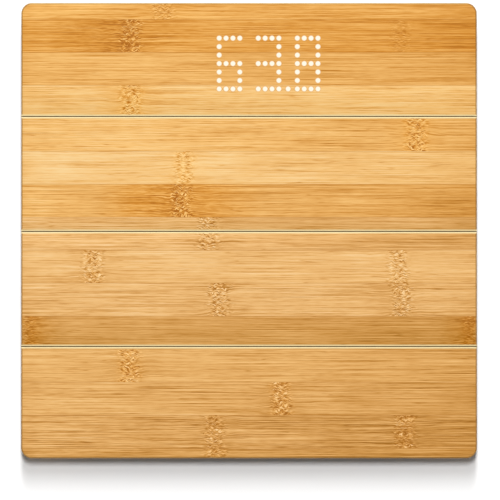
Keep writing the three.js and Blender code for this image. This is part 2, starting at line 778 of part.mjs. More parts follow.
CORNERS.forEach(({ name, sx, sy }) => {
  const x = sx * FOOT_REACH;
  const y = sy * FOOT_REACH;
  const turn = sx < 0 ? 0 : Math.PI;
  place(`cell_holder_${name}`, geometryOf(cellHolder()), HOLDER_ABS, x, y, turn);
  place(`load_cell_${name}`, loadCell(), STEEL, x, y, turn);
  place(`gauge_seal_${name}`, geometryOf(gaugeSeal()), SILICONE, x, y, turn);
  place(`foot_cap_${name}`, geometryOf(footCap()), FOOT_ABS, x, y, turn);
  place(`foot_pad_${name}`, geometryOf(footPad()), RUBBER, x, y, turn);
  const route = mirrored(sy < 0 ? FRONT_CELL_ROUTE : BACK_CELL_ROUTE, sx);
  place(`cell_lead_${name}`, tube(route, LEAD_RADIUS, sy < 0 ? 44 : 20), LEAD_GREY);
});

SCREW_PLACES.forEach(([x, y], n) => {
  place(`shell_screw_${n + 1}`, geometryOf(shellScrew()), SCREW_STEEL, x, y);
});
STANDOFFS.forEach(([x, y], n) => {
  place(`board_screw_${n + 1}`, geometryOf(boardScrew()), SCREW_STEEL, x, y);
});

export default root;
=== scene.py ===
"""The looks of a bamboo-topped digital bathroom scale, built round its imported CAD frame.

Lengths are in millimetres until a mesh is made. The frame's +Z is up and +Y is the display edge. A node
of the bamboo, where its fibres curl, is called a knot here, because a CAD piece is called a node too.
"""

import math

import bmesh
import bpy
from mathutils import Matrix, Vector


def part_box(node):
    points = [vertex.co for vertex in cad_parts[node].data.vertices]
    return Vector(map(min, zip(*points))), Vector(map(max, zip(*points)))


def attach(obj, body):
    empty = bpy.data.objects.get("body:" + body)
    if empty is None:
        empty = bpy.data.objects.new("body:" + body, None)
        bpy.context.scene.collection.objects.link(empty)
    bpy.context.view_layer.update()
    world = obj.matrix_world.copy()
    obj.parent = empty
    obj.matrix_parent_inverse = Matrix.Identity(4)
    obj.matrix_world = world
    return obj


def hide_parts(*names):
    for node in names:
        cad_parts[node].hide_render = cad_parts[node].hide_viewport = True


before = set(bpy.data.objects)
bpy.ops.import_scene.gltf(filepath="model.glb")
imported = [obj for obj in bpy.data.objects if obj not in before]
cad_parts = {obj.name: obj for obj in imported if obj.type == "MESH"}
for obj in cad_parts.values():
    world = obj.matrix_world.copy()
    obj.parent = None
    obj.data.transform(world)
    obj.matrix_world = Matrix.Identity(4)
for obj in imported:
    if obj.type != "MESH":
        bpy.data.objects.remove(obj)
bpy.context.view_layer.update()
MM = 0.001
CORNERS = ("front_left", "front_right", "back_left", "back_right")

# -------------------- camera, floor and light
CAMERA_TILT = 2  # degrees from straight down, so that the front edge just shows
CAMERA_DISTANCE = 8000
VIEW_WIDTH = 329.2  # across the picture, at the height of the platform
VIEW_CENTRE = (0.63, -12.9)
FLOOR_SIDE = 5000
FLOOR_LEVEL = 0.9
SKY_LEVEL = 0.14
SKY_FADE = (0.12, 0.3)  # the heights, from 0 to 1, between which the sky dims from white to its level
LIGHT_DISTANCE = 9000
# Each light strip's lowest and highest elevation in degrees, its width, and the brightness that it adds
# to a white upward face.
STRIP_LIGHTS = {
    "top_strip": (80, 88.2, 500, 0.55),
    "back_strip": (46, 75, 1000, 0.56),
}
STUDIO_LEVEL = 1.26  # how bright the sky and the lights together make a perfectly white upward face
SHEEN_LEVEL = 0.022  # the white shine that the varnish adds
DARKEST_LEVEL = 0.002  # so that no colour is quite black

# -------------------- platform
CORNER_RADIUS = 7
TOP_ROUND = 1.15
BOTTOM_ROUND = 0.6
GROOVE_PITCH = 75.8
GROOVE_SHIFT = -0.7  # of the middle groove from the middle of the platform, along Y
GROOVE_HALF = 1.15
GROOVE_SLIT_HALF = 0.25
GROOVE_V_DEPTH = 0.5
GROOVE_DEPTH = 1.8
GROOVE_MARGIN = 0.3  # how far below a groove's floor its colours still reach
POCKET_GAP = 0.3  # round the light mask
OVERCUT = 1  # how far the solids that are cut away run past the panel
STRIP_PITCH = 21.73
STRIP_START = 139.1  # the Y of the first glue line from the back

# Each strip from the back: its tone at the left and at the right end from dark (0) to light (1), its
# warmth from straw (-1) to orange (1), the contrast of its fibres, then its knots as (place along X,
# strength, side). The side is the way along X that a brown stain spreads from the knot, or 0 for none.
# A side of 2 makes the stain darker and shorter than a side of 1 does.
# The tones are partly each strip's own and partly painted shade: they fall towards the front strips and
# towards the right ends, where the light falls off.
STRIPS = [
    (0.71, 0.55, 0.9, 1.2, [(-57, 0.7, 0)]),
    (0.57, 0.47, 1.0, 1.2, [(-78, 1.0, -1), (-78, 0.4, 1), (100, 0.3, 0)]),
    (0.71, 0.58, 0.5, 1.0, []),
    (0.83, 0.86, 0.35, 1.0, [(-78, 0.8, 0)]),
    (0.84, 0.63, 0.4, 1.1, [(110, 0.85, 0)]),
    (0.88, 0.78, 0.0, 0.9, [(-43, 0.6, 0)]),
    (0.71, 0.53, 0.4, 1.2, [(-45, 1.0, -1), (-45, 0.7, 1)]),
    (0.76, 0.54, -0.5, 1.1, [(-27, 0.8, 0)]),
    (0.75, 0.75, -0.4, 0.95, [(-103, 0.8, 0), (98, 0.7, 0)]),
    (0.71, 0.67, -0.5, 1.2, [(-20, 0.9, 0), (100, 0.8, 0)]),
    (0.55, 0.46, -0.3, 1.0, [(-146, 0.42, 2), (147, 0.42, -2)]),
    (0.70, 0.57, -0.2, 1.0, [(-79, 0.9, 0)]),
    (0.68, 0.49, -0.3, 1.1, [(21, 0.9, 0)]),
    (0.60, 0.40, -0.4, 1.5, [(-23, 0.7, 0), (103, 0.8, 0)]),
    (0.57, 0.38, -0.3, 1.35, [(-22, 0.7, 0)]),
]
STRIP_SEED_STEP = 1.7  # between the noise of one strip and of the next
KNOT_LAYERS = ("knot_a", "knot_b", "knot_c")  # the face attributes that hold a strip's knots
NO_KNOT = (0, 0, 0)

# -------------------- bamboo grain
WOOD_ROUGHNESS = 0.48
WOOD_SPECULAR = 0.08
WOOD_BUMP = 0.02
THREAD_GLOSS = -0.25  # how much the threads change the roughness
STREAK_BUMP = 0.6  # how much the streaks rise beside the threads
FIBRE_SHIFT = 7.3  # along the fibres, from one strip to the next, so that no two strips are alike
FIBRE_NOISE_ROUGHNESS = 0.55
# The length and width of each kind of fibre, and the detail of its noise.
FIBRES = {
    "broad": (70, 5.0, 1.0),
    "streak": (110, 1.5, 2.0),
    "thread": (70, 0.44, 1.0),
    "short": (9, 0.5, 1.0),
    "curled": (3.2, 0.5, 1.0),
    "dark_line": (75, 2.4, 1.0),
    "line_break": (22, 3.0, 1.0),
    "stain": (40, 3.0, 1.0),
    "dash": (5, 0.8, 1.0),
}
GRAIN_SHARES = {"broad": 0.18, "streak": 0.13, "thread": 1.08, "short": 0.42}
# How many patches of each kind there are in a millimetre along and across a strip, and their detail.
PATCHES = {
    "sway": (0.012, 0.05, 1.0),
    "bow": (0.06, 0.13, 0.0),
    "curl": (0.42, 0.34, 1.0),
    "ragged": (0.15, 0.35, 2.0),
    "cloud": (0.025, 0.07, 1.0),
}
# How much each of these lightens or darkens the wood, on the scale of the tones.
GRAIN_LIGHTER = 0.7
GRAIN_DARKER = 1.35
CURLS_LIGHTER = 3.6
CURLS_DARKER = 5.2
KNOT_CHANGE = -0.04
LINE_CHANGE = -0.26
STAIN_CHANGE = -0.42
CLOUD_CHANGE = 0.22
# Where the platform darkens near each end, as the first and the last X, and by how much.
END_SHADES = [(112, 150, -0.07), (-138, -149, -0.05)]
# Distances along X from the middle of a knot: where its curls and its bowed fibres are still at their
# strongest and where they end, and where its stain starts, is at its darkest and ends.
KNOT_REACH = (1.5, 10.5)
BOW_REACH = (4, 24)
STAIN_START, STAIN_DARKEST, STAIN_END = -9, 3, 55
KNOT_RAGGEDNESS = 10  # how far the outline of a knot wanders
CURL_SWING = 4.5  # how far fibres are moved across the strip inside a knot
BOW_SWING = 5.0  # and how far near it
FAINT_STAIN = 0.3  # the stain that every knot has on both sides
STAIN_WARMTH = 1.3
KNOT_WARMTH = 0.9
DARK_LINE_HALF = 0.022  # of a dark line's fibre noise
# Painted shade on the rim and the sides of the platform, which starts a little below its top face.
RIM_SHADE_START = 0.005  # how far below the top face the rim begins to darken
RIM_SHADE_FULL = 0.06  # and where it is darkest
# How strongly these cover the wood's own colour.
GLUE_COVER = 0.3
# The painted shade on the rim and the sides.
RIM_SHADE_COVER = 0.62
LAYER_GLUE_COVER = 0.6
# The pale flanks are partly painted light.
FLANK_TONE_AND_LIGHT_COVER = 0.85

# The colours of the wood from dark to light, as they are shown in a render, and the tints of its strips.
WOOD_TONES = [
    (0.0, (166, 110, 46)),
    (0.24, (196, 137, 64)),
    (0.43, (214, 156, 82)),
    (0.62, (232, 176, 103)),
    (0.81, (247, 197, 125)),
    (1.0, (252, 216, 156)),
]
GLUE_COLOUR = (176, 116, 52)
# The painted shade on the rim and the sides.
RIM_SHADE_COLOUR = (154, 122, 78)
SAWN_COLOUR = (134, 84, 40)
LAYER_GLUE_COLOUR = (112, 68, 30)
# Partly the paler cut bamboo, partly painted light on flanks that turn away from the lights.
FLANK_TONE_AND_LIGHT_COLOUR = (255, 238, 184)
# Painted shade in the narrow slit of each groove.
SLIT_SHADE_COLOUR = (104, 70, 20)
UNLIT_DOT_COLOUR = (233, 177, 104)
ORANGE_TINT = (1.05, 0.985, 0.78, 1)
DARK_ORANGE_TINT = (1.16, 0.96, 0.3, 1)
STRAW_TINT = (0.97, 1.0, 1.25, 1)

# -------------------- display
READING = " 63.8"  # the first of the four places is dark
DIGIT_PITCH = 25.74
DOT_PITCH = (4.53, 5.58)
DOT_RADIUS = 1.95
DOT_CORE = 0.62  # the share of the radius that is fully bright
DOT_COLUMNS = 4
DOT_ROWS = 7
DOT_SIDES = 32
DOT_LIFT = 0.02  # of the rim above the platform
DOT_DOME = 0.05  # the height of the middle above the rim
DOT_RINGS = [(DOT_CORE, 0.7), (0.75, 0.5), (0.88, 0.3), (1.0, 0.0)]  # shares of the radius and the dome
# The rows of dots that each number lights, from the top. Columns are counted from the left.
ALL, LEFT, RIGHT, ENDS = (0, 1, 2, 3), (0,), (3,), (0, 3)
NUMBER_ROWS = {
    "3": (ALL, RIGHT, RIGHT, ALL, RIGHT, RIGHT, ALL),
    "6": (ALL, LEFT, LEFT, ALL, ENDS, ENDS, ALL),
    "8": (ALL, ENDS, ENDS, ALL, ENDS, ENDS, ALL),
}

# -------------------- feet
FOOT_SIDES = 96
CAP_ROUND = 0.35
PAD_ROUND = 0.3
CAP_SEAT = (24.3, 2.2)  # the radius and the roof of the recess that holds the pad
CAP_BEVEL = (0.5, 0.6)  # the width and the height of the slope round its lower edge
CAP_LIP = (22.9, 11.4)  # the inner radius and the underside of the lip that keeps the cap on its holder
CAP_HOLLOW = (24.2, 4.6)  # the radius and the floor of its hollow
CAP_PIN = (4.5, 10.6)  # the radius and the top of the pin in its middle
CAP_SLOPE = 0.5  # of the lip and of the foot of the pin
PAD_RADIUS = 24
PAD_TOP = 1.9
PAD_BEVEL = 0.8
PAD_GROOVES = (6, 12, 18)
PAD_GROOVE_SHAPE = [(-0.9, 0), (-0.5, 0.5), (0.5, 0.5), (0.9, 0)]

# -------------------- battery bay
CELL_LENGTH = 44.5
CELL_BODY = 43.7  # without the raised end
CELL_RADIUS = 5.25
CELL_SIDES = 64
CELL_ROUND = 0.25
CELL_FILM_FOLD = 0.8  # of the film over the flat end
CELL_FILM_SLOPE = 0.2  # from there down to the flat end
CELL_RECESS = 0.25  # of the flat end inside the film
CELL_SHOULDER = [(0, 0.6), (1.2, 0.5), (1.4, 0)]  # how far in from the radius and short of the body
CELL_BUTTON_RADIUS = 1.9
CELL_BAND = 31  # where the dark band of the jacket starts, from the flat end
CELL_RING_HALF = 0.6  # half the width of the silver ring there
CONTACT_FACE = 24.6  # the inner face of each contact plate, from the middle of the bay
CONTACT_SKIN = 0.06  # what is cut off the plate along with its CAD spring
SPRING_LENGTH = 3.9
SPRING_RADII = (3.6, 2.3)  # at the plate and at the cell
SPRING_WIRE = 0.35
SPRING_TURNS = 4
SPRING_CELLS = {"bridge_left": 2, "bridge_right": 1, "minus": 3}  # the cell that each spring presses

# -------------------- fine edges on CAD nodes
WELD_DISTANCE = 0.002
FLAT_ANGLE = 0.5  # degrees between faces that count as one flat face
BEVEL_ANGLE = 35  # the smallest turn, in degrees, that gets a rounded edge

# -------------------- circuit board and label
TRACE_PITCH = 1.27
BOARD_LIGHT_HEIGHT = 0.7
LABEL_MARGIN = 2.0  # from the label's edge to its printed border
LABEL_LINE_HALF = 0.2
LABEL_DIVIDER_HALF = 0.15


# ==================== mesh helpers
def new_piece(name, mesh_builder, material, body="frame", replaces=(), slot=None):
    """Makes an object from a bmesh in millimetres and ties it to the frame."""
    mesh = bpy.data.meshes.new(name)
    mesh_builder.to_mesh(mesh)
    mesh_builder.free()
    mesh.transform(Matrix.Scale(MM, 4))
    piece = bpy.data.objects.new(name, mesh)
    bpy.context.scene.collection.objects.link(piece)
    mesh.materials.append(material)
    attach(piece, body)
    if replaces:
        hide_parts(*replaces)
    return piece


def smooth(piece, angle=32):
    """Shades the piece smooth, apart from edges sharper than the angle."""
    piece.data.shade_smooth()
    piece.data.set_sharp_from_angle(angle=math.radians(angle))


def box_mm(node):
    """The low and high corners of a CAD node, in millimetres."""
    low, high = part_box(node)
    return low / MM, high / MM


def rounded_outline(width, depth, corner, steps):
    """Points of a rounded rectangle about the Z axis, anticlockwise."""
    points = []
    for quarter in range(4):
        sign_x = 1 if quarter in (0, 3) else -1
        sign_y = 1 if quarter in (0, 1) else -1
        middle = (sign_x * (width / 2 - corner), sign_y * (depth / 2 - corner))
        for step in range(steps + 1):
            turn = math.radians(90 * (quarter + step / steps))
            points.append((middle[0] + corner * math.cos(turn), middle[1] + corner * math.sin(turn)))
    return points


def loft(builder, rings):
    """Skins a stack of rings with the same number of points, and caps both ends."""
    rows = [[builder.verts.new(point) for point in ring] for ring in rings]
    count = len(rows[0])
    for below, above in zip(rows, rows[1:]):
        for i in range(count):
            j = (i + 1) % count
            builder.faces.new((below[i], below[j], above[j], above[i]))
    builder.faces.new(rows[0][::-1])
    builder.faces.new(rows[-1])
    return builder


def edge_curve(radius, steps):
    """Inset and drop of the points down a rounded edge, from its flat top to its upright side."""
    for step in range(steps + 1):
        turn = math.radians(90 * step / steps)
        yield radius * (1 - math.sin(turn)), radius * (1 - math.cos(turn))


def rounded_slab(width, depth, corner, low, high, top_round, bottom_round, steps=16):
    """A slab with a rounded outline and rounded top and bottom edges."""
    levels = [(inset, low + drop) for inset, drop in edge_curve(bottom_round, 4)]
    levels += [(inset, high - drop) for inset, drop in reversed(list(edge_curve(top_round, 6)))]
    rings = []
    for inset, z in levels:
        outline = rounded_outline(width - 2 * inset, depth - 2 * inset, corner - inset, steps)
        rings.append([(x, y, z) for x, y in outline])
    return loft(bmesh.new(), rings)


def prism_along_x(builder, section, x0, x1):
    """Adds a bar of constant section in Y and Z to the bmesh."""
    return loft(builder, [[(x, y, z) for y, z in section] for x in (x0, x1)])


def circle(centre, radius, z, sides):
    """The points of a level circle, anticlockwise from +X."""
    turns = [2 * math.pi * side / sides for side in range(sides)]
    return [(centre[0] + radius * math.cos(t), centre[1] + radius * math.sin(t), z) for t in turns]


def turned(profile, sides, centre):
    """A piece turned about an upright axis, from (radius, height) points that start and end on it."""
    builder = bmesh.new()
    rows = []
    for radius, z in profile:
        points = circle(centre, radius, z, sides) if radius else [(*centre, z)]
        rows.append([builder.verts.new(point) for point in points])
    for below, above in zip(rows, rows[1:]):
        for i in range(sides):
            j = (i + 1) % sides
            if len(below) == 1:
                builder.faces.new((below[0], above[j], above[i]))
            elif len(above) == 1:
                builder.faces.new((below[i], below[j], above[0]))
            else:
                builder.faces.new((below[i], below[j], above[j], above[i]))
    return builder


def coil(builder, start, end, start_radius, end_radius, turns, wire, turn_steps=24, wire_sides=8):
    """Adds a round wire wound about a line along X to the bmesh."""
    steps = turns * turn_steps
    across = Vector((1, 0, 0))
    angles = [2 * math.pi * side / wire_sides for side in range(wire_sides)]
    rings = []
    for step in range(steps + 1):
        share = step / steps
        turn = 2 * math.pi * turns * share
        outward = Vector((0, math.cos(turn), math.sin(turn)))
        middle = start.lerp(end, share) + outward * (start_radius + (end_radius - start_radius) * share)
        rings.append([middle + (outward * math.cos(a) + across * math.sin(a)) * wire for a in angles])
    return loft(builder, rings)


def cut_away(piece, tool_builder):
    """Cuts the solids in the bmesh, which is in millimetres, out of the piece, and frees the bmesh."""
    mesh = bpy.data.meshes.new("tool")
    bmesh.ops.recalc_face_normals(tool_builder, faces=tool_builder.faces)
    tool_builder.to_mesh(mesh)
    tool_builder.free()
    mesh.transform(Matrix.Scale(MM, 4))
    tool = bpy.data.objects.new("tool", mesh)
    bpy.context.scene.collection.objects.link(tool)
    cut = piece.modifiers.new("cut", "BOOLEAN")
    cut.object = tool
    cut.operation = "DIFFERENCE"
    cut.solver = "EXACT"
    bpy.context.view_layer.update()
    depsgraph = bpy.context.evaluated_depsgraph_get()
    result = bpy.data.meshes.new_from_object(piece.evaluated_get(depsgraph))
    piece.modifiers.clear()
    piece.data = result
    bpy.data.objects.remove(tool)


# ==================== material helper
def linear(level):
    """The linear light of a 0 to 255 level of an sRGB picture."""
    level /= 255
    return level / 12.92 if level <= 0.04045 else ((level + 0.055) / 1.055) ** 2.4


def seen(shown):
    """The surface colour that the studio light shows as this 0 to 255 colour on an upward face."""
    levels = [max(linear(level) - SHEEN_LEVEL, DARKEST_LEVEL) / STUDIO_LEVEL for level in shown]
    return (*levels, 1)


def grey(level):
    return (level, level, level, 1)


def scaled(colour, factor):
    """The colour made darker or lighter, but no level above 1."""
    return (*(min(1, level * factor) for level in colour[:3]), 1)


class Surface:
    """A material under construction, with short calls for the nodes that it needs."""

    def __init__(self, name, roughness, metallic=0.0, specular=0.5):
        self.material = bpy.data.materials.new(name)
        self.material.use_nodes = True
        self.tree = self.material.node_tree
        self.shader = self.tree.nodes["Principled BSDF"]
        self.shader.inputs["Roughness"].default_value = roughness
        self.shader.inputs["Metallic"].default_value = metallic
        self.shader.inputs["Specular IOR Level"].default_value = specular

    def put(self, socket, value):
        """Links a socket's output to the input, or sets the input to a plain value."""
        if isinstance(value, bpy.types.NodeSocket):
            self.tree.links.new(value, socket)
        else:
            socket.default_value = value

    def set(self, name, value):
        self.put(self.shader.inputs[name], value)

    def place(self):
        """The point on the piece, in millimetres."""
        node = self.tree.nodes.new("ShaderNodeTexCoord")
        return self.vector("MULTIPLY", node.outputs["Object"], (1 / MM, 1 / MM, 1 / MM))

    def vector(self, operation, first, second=(0, 0, 0)):
        node = self.tree.nodes.new("ShaderNodeVectorMath")
        node.operation = operation
        self.put(node.inputs[0], first)
        self.put(node.inputs[1], second)
        return node.outputs["Vector"]

    def math(self, operation, first, second=0.0, third=0.0):
        node = self.tree.nodes.new("ShaderNodeMath")
        node.operation = operation
        for socket, value in zip(node.inputs, (first, second, third)):
            self.put(socket, value)
        return node.outputs[0]

    def add(self, *terms):
        total = terms[0]
        for term in terms[1:]:
            total = self.math("ADD", total, term)
        return total

    def times(self, *factors):
        total = factors[0]
        for factor in factors[1:]:
            total = self.math("MULTIPLY", total, factor)
        return total

    def split(self, vector):
        node = self.tree.nodes.new("ShaderNodeSeparateXYZ")
        self.put(node.inputs[0], vector)
        return node.outputs[0], node.outputs[1], node.outputs[2]

    def join(self, x, y, z):
        node = self.tree.nodes.new("ShaderNodeCombineXYZ")
        for socket, value in zip(node.inputs, (x, y, z)):
            self.put(socket, value)
        return node.outputs[0]

    def attribute(self, name):
        node = self.tree.nodes.new("ShaderNodeAttribute")
        node.attribute_name = name
        return node.outputs["Vector"]

    def normal(self):
        return self.tree.nodes.new("ShaderNodeNewGeometry").outputs["Normal"]

    def span(self, value, low, high, out_low=0.0, out_high=1.0, soft=False):
        """Maps low..high to out_low..out_high, and holds the ends."""
        node = self.tree.nodes.new("ShaderNodeMapRange")
        node.interpolation_type = "SMOOTHSTEP" if soft else "LINEAR"
        for socket, number in zip(node.inputs, (value, low, high, out_low, out_high)):
            self.put(socket, number)
        return node.outputs[0]

    def noise(self, vector, scale=1.0, detail=2.0, roughness=0.5):
        node = self.tree.nodes.new("ShaderNodeTexNoise")
        self.put(node.inputs["Vector"], vector)
        node.inputs["Scale"].default_value = scale
        node.inputs["Detail"].default_value = detail
        node.inputs["Roughness"].default_value = roughness
        return node.outputs["Fac"]

    def ramp(self, factor, stops):
        node = self.tree.nodes.new("ShaderNodeValToRGB")
        self.put(node.inputs[0], factor)
        elements = node.color_ramp.elements
        while len(elements) < len(stops):
            elements.new(0.5)
        for element, (position, colour) in zip(elements, stops):
            element.position = position
            element.color = colour
        return node.outputs[0]

    def mix(self, factor, first, second, blend="MIX"):
        node = self.tree.nodes.new("ShaderNodeMix")
        node.data_type = "RGBA"
        node.blend_type = blend
        self.put(node.inputs[0], factor)
        self.put(node.inputs[6], first)
        self.put(node.inputs[7], second)
        return node.outputs[2]

    def bump(self, height, depth):
        """Raises the surface by the height, where 1 is the given depth in millimetres."""
        node = self.tree.nodes.new("ShaderNodeBump")
        node.inputs["Strength"].default_value = 1.0
        node.inputs["Distance"].default_value = depth * MM
        self.put(node.inputs["Height"], height)
        self.set("Normal", node.outputs[0])


# ==================== materials
class Wood(Surface):
    """The bamboo's surface, which knows its strips, its knots and which way its fibres run."""

    def __init__(self):
        super().__init__("bamboo", WOOD_ROUGHNESS, specular=WOOD_SPECULAR)
        self.x, self.y, self.z = self.split(self.place())
        # A strip's tones hold painted shade as well as its own tone.
        self.left_tone, self.right_tone, self.warmth = self.split(self.attribute("strip"))
        self.seed, self.contrast, _ = self.split(self.attribute("fibre"))
        self.knot, self.stain, self.bowed = self.all_knots()
        self.across = self.fibre_path()

    def patches(self, kind):
        """Noise from 0 to 1 in patches that are their own in each strip."""
        along, across, detail = PATCHES[kind]
        place = self.join(self.times(self.x, along), self.times(self.y, across), self.seed)
        return self.noise(place, detail=detail)

    def all_knots(self):
        """How much a point lies in any knot, in any stain and among any bowed fibres."""
        ragged = self.times(self.add(self.patches("ragged"), -0.5), KNOT_RAGGEDNESS)
        masks = (0.0, 0.0, 0.0)
        for name in KNOT_LAYERS:
            one = self.one_knot(ragged, *self.split(self.attribute(name)))
            masks = [self.math("MAXIMUM", mask, other) for mask, other in zip(masks, one)]
        return masks

    def one_knot(self, ragged, place, strength, side):
        """The three masks of one knot."""
        away = self.add(self.math("SUBTRACT", self.x, place), ragged)
        distance = self.math("ABSOLUTE", away)
        knot = self.times(self.span(distance, *KNOT_REACH, 1.0, 0.0, soft=True), strength)
        bowed = self.times(self.span(distance, *BOW_REACH, 1.0, 0.0), strength)
        along = self.times(away, side)
        stain = self.times(
            self.span(along, STAIN_START, STAIN_DARKEST, soft=True),
            self.span(along, STAIN_DARKEST, STAIN_END, 1.0, 0.0),
            strength,
            self.math("ABSOLUTE", side),
        )
        return knot, self.math("MAXIMUM", stain, self.times(bowed, FAINT_STAIN)), bowed

    def fibre_path(self):
        """The distance across the fibres, which sway a little, bow near a knot and curl inside it."""
        curl = self.times(self.add(self.patches("curl"), -0.5), self.knot, CURL_SWING)
        bow = self.times(self.add(self.patches("bow"), -0.5), self.bowed, BOW_SWING)
        return self.add(self.y, self.patches("sway"), curl, bow)

    def fibres(self, kind):
        """Noise from -0.5 to 0.5 drawn out along the fibres."""
        length, width, detail = FIBRES[kind]
        place = self.join(
            self.add(self.times(self.x, 1 / length), self.times(self.seed, FIBRE_SHIFT)),
            self.times(self.across, 1 / width),
            self.times(self.z, 1 / width),
        )
        noise = self.noise(place, detail=detail, roughness=FIBRE_NOISE_ROUGHNESS)
        return self.add(noise, -0.5)

    def uneven(self, value, lighter, darker):
        """Scales what is above zero by one factor and what is below it by another, bigger one."""
        return self.math("MINIMUM", self.times(value, lighter), self.times(value, darker))


def bamboo():
    """Flat strips with long fibres, curled knots, glue lines, pale flanks in the grooves that are partly
    painted light, and painted shade in the slits and on the rim and sides.
    """
    wood = Wood()
    layers = {kind: wood.fibres(kind) for kind in GRAIN_SHARES}
    grain = wood.add(*(wood.times(layers[kind], share) for kind, share in GRAIN_SHARES.items()))
    lightness = wood.add(
        strip_tone_and_shade(wood),
        wood.times(wood.contrast, wood.uneven(grain, GRAIN_LIGHTER, GRAIN_DARKER)),
        dark_lines(wood),
        curled_fibres(wood),
        brown_stain(wood),
    )
    colour = wood_colour(wood, lightness)
    colour = wood.mix(glue_lines(wood), colour, seen(GLUE_COLOUR))
    # Painted shade on the rim and the sides.
    colour = wood.mix(painted_rim_shade(wood), colour, seen(RIM_SHADE_COLOUR))
    colour = end_grain(wood, colour)
    # Pale flanks, partly painted light, and painted shade in the slits.
    colour = groove_tone_light_and_shade(wood, colour)
    wood.set("Base Color", colour)
    wood.set("Roughness", wood.add(WOOD_ROUGHNESS, wood.times(layers["thread"], THREAD_GLOSS)))
    wood.bump(wood.add(layers["thread"], wood.times(layers["streak"], STREAK_BUMP)), WOOD_BUMP)
    return wood.material


def strip_tone_and_shade(wood):
    """A strip's tone from end to end, partly its own and partly painted shade that darkens it towards
    the right, with soft clouds, and darker near the ends of the platform.
    """
    low, high = box_mm("bamboo_platform")
    tone = wood.span(wood.x, low.x, high.x, wood.left_tone, wood.right_tone)
    clouds = wood.times(wood.add(wood.patches("cloud"), -0.5), CLOUD_CHANGE)
    ends = [wood.span(wood.x, first, last, 0.0, change) for first, last, change in END_SHADES]
    return wood.add(tone, clouds, *ends)


def dark_lines(wood):
    """Thin dark fibres that come and go."""
    line = wood.span(wood.math("ABSOLUTE", wood.fibres("dark_line")), 0.0, DARK_LINE_HALF, 1.0, 0.0)
    return wood.times(line, wood.span(wood.fibres("line_break"), -0.02, 0.1), LINE_CHANGE)


def curled_fibres(wood):
    """The short curled fibres inside a knot, which is a little darker as a whole."""
    curls = wood.times(wood.knot, wood.fibres("curled"))
    return wood.add(
        wood.uneven(curls, CURLS_LIGHTER, CURLS_DARKER), wood.times(wood.knot, wood.knot, KNOT_CHANGE)
    )


def brown_stain(wood):
    """The brown stain beside a knot, broken up along the fibres and into short dashes."""
    broken = wood.add(wood.fibres("stain"), wood.times(wood.fibres("dash"), 1.5))
    return wood.times(wood.stain, wood.span(broken, -0.2, 0.2, 1.0, 0.25), STAIN_CHANGE)


def wood_colour(wood, lightness):
    """The colour of each lightness, turned towards orange or straw by the warmth of the strip."""
    colour = wood.ramp(lightness, [(tone, seen(shown)) for tone, shown in WOOD_TONES])
    orange = wood.mix(1.0, colour, ORANGE_TINT, blend="MULTIPLY")
    dark_orange = wood.mix(1.0, colour, DARK_ORANGE_TINT, blend="MULTIPLY")
    orange = wood.mix(wood.span(lightness, 0.66, 0.1), orange, dark_orange)
    straw = wood.mix(1.0, colour, STRAW_TINT, blend="MULTIPLY")
    marks = wood.add(wood.times(wood.stain, STAIN_WARMTH), wood.times(wood.knot, KNOT_WARMTH))
    warm = wood.add(wood.warmth, marks)
    colour = wood.mix(wood.math("MAXIMUM", warm, 0.0), colour, orange)
    return wood.mix(wood.math("MAXIMUM", wood.times(wood.warmth, -1.0), 0.0), colour, straw)


def glue_lines(wood):
    """A faint dark line wherever two strips meet."""
    from_start = wood.math("SUBTRACT", STRIP_START, wood.y)
    from_line = wood.math("PINGPONG", from_start, STRIP_PITCH / 2)
    return wood.span(from_line, 0.1, 0.45, GLUE_COVER, 0.0)


def groove_distance(wood):
    """How far a point is from the middle of the nearest groove."""
    return wood.math("PINGPONG", wood.math("SUBTRACT", wood.y, GROOVE_SHIFT), GROOVE_PITCH / 2)


def painted_rim_shade(wood):
    """Painted shade: the rounded rim and the sides are darkened in colour to stand for the shade on
    them.
    """
    high = box_mm("bamboo_platform")[1].z
    beside_groove = wood.math("GREATER_THAN", groove_distance(wood), GROOVE_HALF + 0.1)
    below_groove = wood.math("LESS_THAN", wood.z, high - GROOVE_DEPTH - GROOVE_MARGIN)
    clear = wood.math("MAXIMUM", beside_groove, below_groove)
    return wood.times(wood.span(wood.z, high - RIM_SHADE_START, high - RIM_SHADE_FULL, 0.0, RIM_SHADE_COVER), clear)


def end_grain(wood, colour):
    """Sawn fibre ends on the left and right edges, and the glue line between the panel's two layers."""
    low, high = box_mm("bamboo_platform")
    normal_x, _, normal_z = wood.split(wood.normal())
    ends = wood.span(wood.math("ABSOLUTE", normal_x), 0.75, 0.95)
    sides = wood.span(wood.math("ABSOLUTE", normal_z), 0.5, 0.3)
    bundles = wood.noise(wood.join(wood.times(wood.x, 0.2), wood.y, wood.z), scale=0.9, detail=3.0)
    sawn = wood.mix(wood.span(bundles, 0.42, 0.62, 0.05, 0.8), colour, seen(SAWN_COLOUR))
    colour = wood.mix(ends, colour, sawn)
    from_middle = wood.math("ABSOLUTE", wood.math("SUBTRACT", wood.z, (low.z + high.z) / 2))
    glue = wood.times(wood.span(from_middle, 0.12, 0.3, LAYER_GLUE_COVER, 0.0), sides)
    return wood.mix(glue, colour, seen(LAYER_GLUE_COLOUR))


